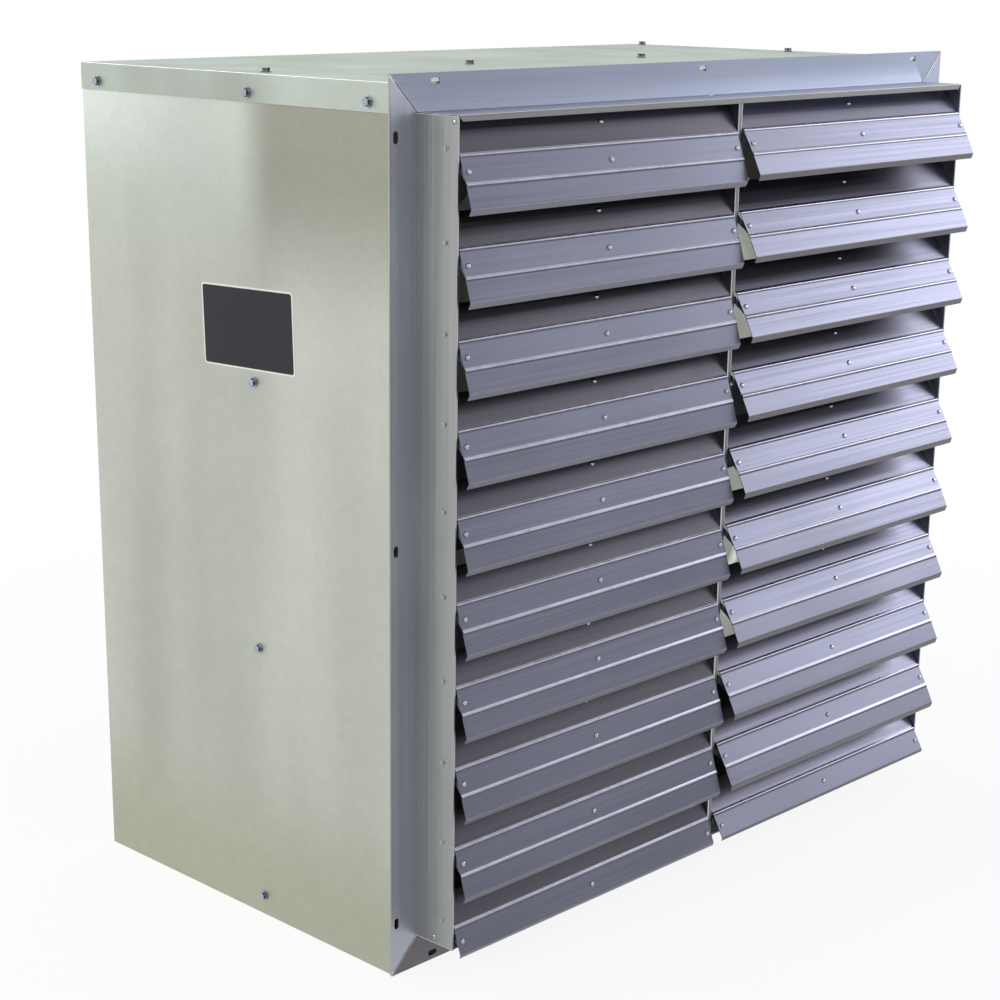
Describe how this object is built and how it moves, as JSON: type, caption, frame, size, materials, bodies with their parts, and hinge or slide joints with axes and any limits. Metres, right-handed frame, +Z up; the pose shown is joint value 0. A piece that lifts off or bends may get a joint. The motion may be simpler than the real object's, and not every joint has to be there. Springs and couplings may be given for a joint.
{
  "type": "cabinet exhaust fan with gravity shutter",
  "caption": "Belt-driven propeller fan in a square sheet-metal cabinet, with two columns of linked shutter blades on its discharge side.",
  "frame": {"origin": "centre of the cabinet's base, on the surface it stands on", "axes": "+Z up, -Y out of the discharge side through the shutter, +X to the right of a viewer who faces the shutter"},
  "size_m": [1.0768, 0.6678, 1.068],
  "materials": {
    "galvanised_sheet": "galvanised, faint spangle, semi-matt",
    "frame_aluminium": "mill finish, semi-matt",
    "mill_aluminium": "mill finish, soft sheen",
    "zinc_plated_steel": "bright zinc plate",
    "bare_steel": "turned, lightly oiled",
    "cast_iron": "painted casting, matt",
    "painted_steel": "grey paint, satin",
    "motor_enamel": "dark enamel, satin",
    "label_black": "printed film, plain",
    "belt_rubber": "fabric-covered rubber"
  },
  "bodies": {
    "cabinet": {"side_panel_left": "galvanised_sheet", "side_panel_right": "galvanised_sheet", "top_panel": "galvanised_sheet", "bottom_panel": "galvanised_sheet", "orifice_panel": "galvanised_sheet", "throat_ring": "galvanised_sheet", "inlet_guard": "zinc_plated_steel", "label_plate": "label_black", "panel_screws": "zinc_plated_steel", "shutter_rail_top": "frame_aluminium", "shutter_rail_bottom": "frame_aluminium", "shutter_rail_left": "frame_aluminium", "shutter_rail_right": "frame_aluminium", "shutter_mullion": "frame_aluminium", "frame_rivets": "zinc_plated_steel", "shutter_studs": "zinc_plated_steel", "drive_post_left": "galvanised_sheet", "drive_post_right": "galvanised_sheet", "bearing_saddle": "galvanised_sheet", "pillow_blocks": "cast_iron", "bearing_rings": "zinc_plated_steel", "drive_belt": "belt_rubber", "motor_shelf": "galvanised_sheet", "drive_bolts": "zinc_plated_steel", "motor_shell": "motor_enamel", "motor_end_bells": "motor_enamel", "motor_stator": "bare_steel", "motor_foot": "motor_enamel", "junction_box": "motor_enamel"},
    "fan_rotor": {"fan_shaft": "bare_steel", "fan_hub": "cast_iron", "fan_arms": "painted_steel", "fan_blades": "mill_aluminium", "fan_sheave": "cast_iron", "inner_rings": "zinc_plated_steel"},
    "motor_rotor": {"motor_shaft": "bare_steel", "motor_rotor_core": "bare_steel", "motor_sheave": "cast_iron"},
    "blade_left_1": {"blade_left_1": "mill_aluminium"},
    "blade_left_2": {"blade_left_2": "mill_aluminium"},
    "blade_left_3": {"blade_left_3": "mill_aluminium"},
    "blade_left_4": {"blade_left_4": "mill_aluminium"},
    "blade_left_5": {"blade_left_5": "mill_aluminium"},
    "blade_left_6": {"blade_left_6": "mill_aluminium"},
    "blade_left_7": {"blade_left_7": "mill_aluminium"},
    "blade_left_8": {"blade_left_8": "mill_aluminium"},
    "blade_left_9": {"blade_left_9": "mill_aluminium"},
    "blade_left_10": {"blade_left_10": "mill_aluminium"},
    "tie_bar_left": {"tie_bar_left": "mill_aluminium"},
    "blade_right_1": {"blade_right_1": "mill_aluminium"},
    "blade_right_2": {"blade_right_2": "mill_aluminium"},
    "blade_right_3": {"blade_right_3": "mill_aluminium"},
    "blade_right_4": {"blade_right_4": "mill_aluminium"},
    "blade_right_5": {"blade_right_5": "mill_aluminium"},
    "blade_right_6": {"blade_right_6": "mill_aluminium"},
    "blade_right_7": {"blade_right_7": "mill_aluminium"},
    "blade_right_8": {"blade_right_8": "mill_aluminium"},
    "blade_right_9": {"blade_right_9": "mill_aluminium"},
    "blade_right_10": {"blade_right_10": "mill_aluminium"},
    "tie_bar_right": {"tie_bar_right": "mill_aluminium"}
  },
  "joints": [
    {"name": "fan_spin", "type": "hinge", "parent": "cabinet", "child": "fan_rotor", "pos_m": [0, -0.09, 0.5295], "axis": [0, 1, 0], "continuous": true},
    {"name": "motor_spin", "type": "hinge", "parent": "cabinet", "child": "motor_rotor", "pos_m": [0, 0.1, 0.1995], "axis": [0, 1, 0], "continuous": true},
    {"name": "left_blade_1", "type": "hinge", "parent": "cabinet", "child": "blade_left_1", "pos_m": [-0.24825, -0.331, 0.9905], "axis": [-1, 0, 0], "range_deg": [-16, 48]},
    {"name": "left_blade_2", "type": "hinge", "parent": "cabinet", "child": "blade_left_2", "pos_m": [-0.24825, -0.331, 0.88906], "axis": [-1, 0, 0], "range_deg": [-16, 48]},
    {"name": "left_blade_3", "type": "hinge", "parent": "cabinet", "child": "blade_left_3", "pos_m": [-0.24825, -0.331, 0.78761], "axis": [-1, 0, 0], "range_deg": [-16, 48]},
    {"name": "left_blade_4", "type": "hinge", "parent": "cabinet", "child": "blade_left_4", "pos_m": [-0.24825, -0.331, 0.68617], "axis": [-1, 0, 0], "range_deg": [-16, 48]},
    {"name": "left_blade_5", "type": "hinge", "parent": "cabinet", "child": "blade_left_5", "pos_m": [-0.24825, -0.331, 0.58472], "axis": [-1, 0, 0], "range_deg": [-16, 48]},
    {"name": "left_blade_6", "type": "hinge", "parent": "cabinet", "child": "blade_left_6", "pos_m": [-0.24825, -0.331, 0.48328], "axis": [-1, 0, 0], "range_deg": [-16, 48]},
    {"name": "left_blade_7", "type": "hinge", "parent": "cabinet", "child": "blade_left_7", "pos_m": [-0.24825, -0.331, 0.38183], "axis": [-1, 0, 0], "range_deg": [-16, 48]},
    {"name": "left_blade_8", "type": "hinge", "parent": "cabinet", "child": "blade_left_8", "pos_m": [-0.24825, -0.331, 0.28039], "axis": [-1, 0, 0], "range_deg": [-16, 48]},
    {"name": "left_blade_9", "type": "hinge", "parent": "cabinet", "child": "blade_left_9", "pos_m": [-0.24825, -0.331, 0.17894], "axis": [-1, 0, 0], "range_deg": [-16, 48]},
    {"name": "left_blade_10", "type": "hinge", "parent": "cabinet", "child": "blade_left_10", "pos_m": [-0.24825, -0.331, 0.0775], "axis": [-1, 0, 0], "range_deg": [-16, 48]},
    {"name": "left_tie_bar", "type": "hinge", "parent": "blade_left_1", "child": "tie_bar_left", "pos_m": [-0.23975, -0.30228, 1.00723], "axis": [-1, 0, 0], "range_deg": [-48, 16]},
    {"name": "right_blade_1", "type": "hinge", "parent": "cabinet", "child": "blade_right_1", "pos_m": [0.24825, -0.331, 0.9905], "axis": [-1, 0, 0], "range_deg": [-26, 38]},
    {"name": "right_blade_2", "type": "hinge", "parent": "cabinet", "child": "blade_right_2", "pos_m": [0.24825, -0.331, 0.88906], "axis": [-1, 0, 0], "range_deg": [-26, 38]},
    {"name": "right_blade_3", "type": "hinge", "parent": "cabinet", "child": "blade_right_3", "pos_m": [0.24825, -0.331, 0.78761], "axis": [-1, 0, 0], "range_deg": [-26, 38]},
    {"name": "right_blade_4", "type": "hinge", "parent": "cabinet", "child": "blade_right_4", "pos_m": [0.24825, -0.331, 0.68617], "axis": [-1, 0, 0], "range_deg": [-26, 38]},
    {"name": "right_blade_5", "type": "hinge", "parent": "cabinet", "child": "blade_right_5", "pos_m": [0.24825, -0.331, 0.58472], "axis": [-1, 0, 0], "range_deg": [-26, 38]},
    {"name": "right_blade_6", "type": "hinge", "parent": "cabinet", "child": "blade_right_6", "pos_m": [0.24825, -0.331, 0.48328], "axis": [-1, 0, 0], "range_deg": [-26, 38]},
    {"name": "right_blade_7", "type": "hinge", "parent": "cabinet", "child": "blade_right_7", "pos_m": [0.24825, -0.331, 0.38183], "axis": [-1, 0, 0], "range_deg": [-26, 38]},
    {"name": "right_blade_8", "type": "hinge", "parent": "cabinet", "child": "blade_right_8", "pos_m": [0.24825, -0.331, 0.28039], "axis": [-1, 0, 0], "range_deg": [-26, 38]},
    {"name": "right_blade_9", "type": "hinge", "parent": "cabinet", "child": "blade_right_9", "pos_m": [0.24825, -0.331, 0.17894], "axis": [-1, 0, 0], "range_deg": [-26, 38]},
    {"name": "right_blade_10", "type": "hinge", "parent": "cabinet", "child": "blade_right_10", "pos_m": [0.24825, -0.331, 0.0775], "axis": [-1, 0, 0], "range_deg": [-26, 38]},
    {"name": "right_tie_bar", "type": "hinge", "parent": "blade_right_1", "child": "tie_bar_right", "pos_m": [0.25675, -0.29981, 1.00199], "axis": [-1, 0, 0], "range_deg": [-38, 26]}
  ],
  "couplings": [
    {"joint": "motor_spin", "follows": "fan_spin", "ratio": 3.0244},
    {"joint": "left_blade_2", "follows": "left_blade_1", "ratio": 1},
    {"joint": "left_blade_3", "follows": "left_blade_1", "ratio": 1},
    {"joint": "left_blade_4", "follows": "left_blade_1", "ratio": 1},
    {"joint": "left_blade_5", "follows": "left_blade_1", "ratio": 1},
    {"joint": "left_blade_6", "follows": "left_blade_1", "ratio": 1},
    {"joint": "left_blade_7", "follows": "left_blade_1", "ratio": 1},
    {"joint": "left_blade_8", "follows": "left_blade_1", "ratio": 1},
    {"joint": "left_blade_9", "follows": "left_blade_1", "ratio": 1},
    {"joint": "left_blade_10", "follows": "left_blade_1", "ratio": 1},
    {"joint": "left_tie_bar", "follows": "left_blade_1", "ratio": -1},
    {"joint": "right_blade_2", "follows": "right_blade_1", "ratio": 1},
    {"joint": "right_blade_3", "follows": "right_blade_1", "ratio": 1},
    {"joint": "right_blade_4", "follows": "right_blade_1", "ratio": 1},
    {"joint": "right_blade_5", "follows": "right_blade_1", "ratio": 1},
    {"joint": "right_blade_6", "follows": "right_blade_1", "ratio": 1},
    {"joint": "right_blade_7", "follows": "right_blade_1", "ratio": 1},
    {"joint": "right_blade_8", "follows": "right_blade_1", "ratio": 1},
    {"joint": "right_blade_9", "follows": "right_blade_1", "ratio": 1},
    {"joint": "right_blade_10", "follows": "right_blade_1", "ratio": 1},
    {"joint": "right_tie_bar", "follows": "right_blade_1", "ratio": -1}
  ]
}
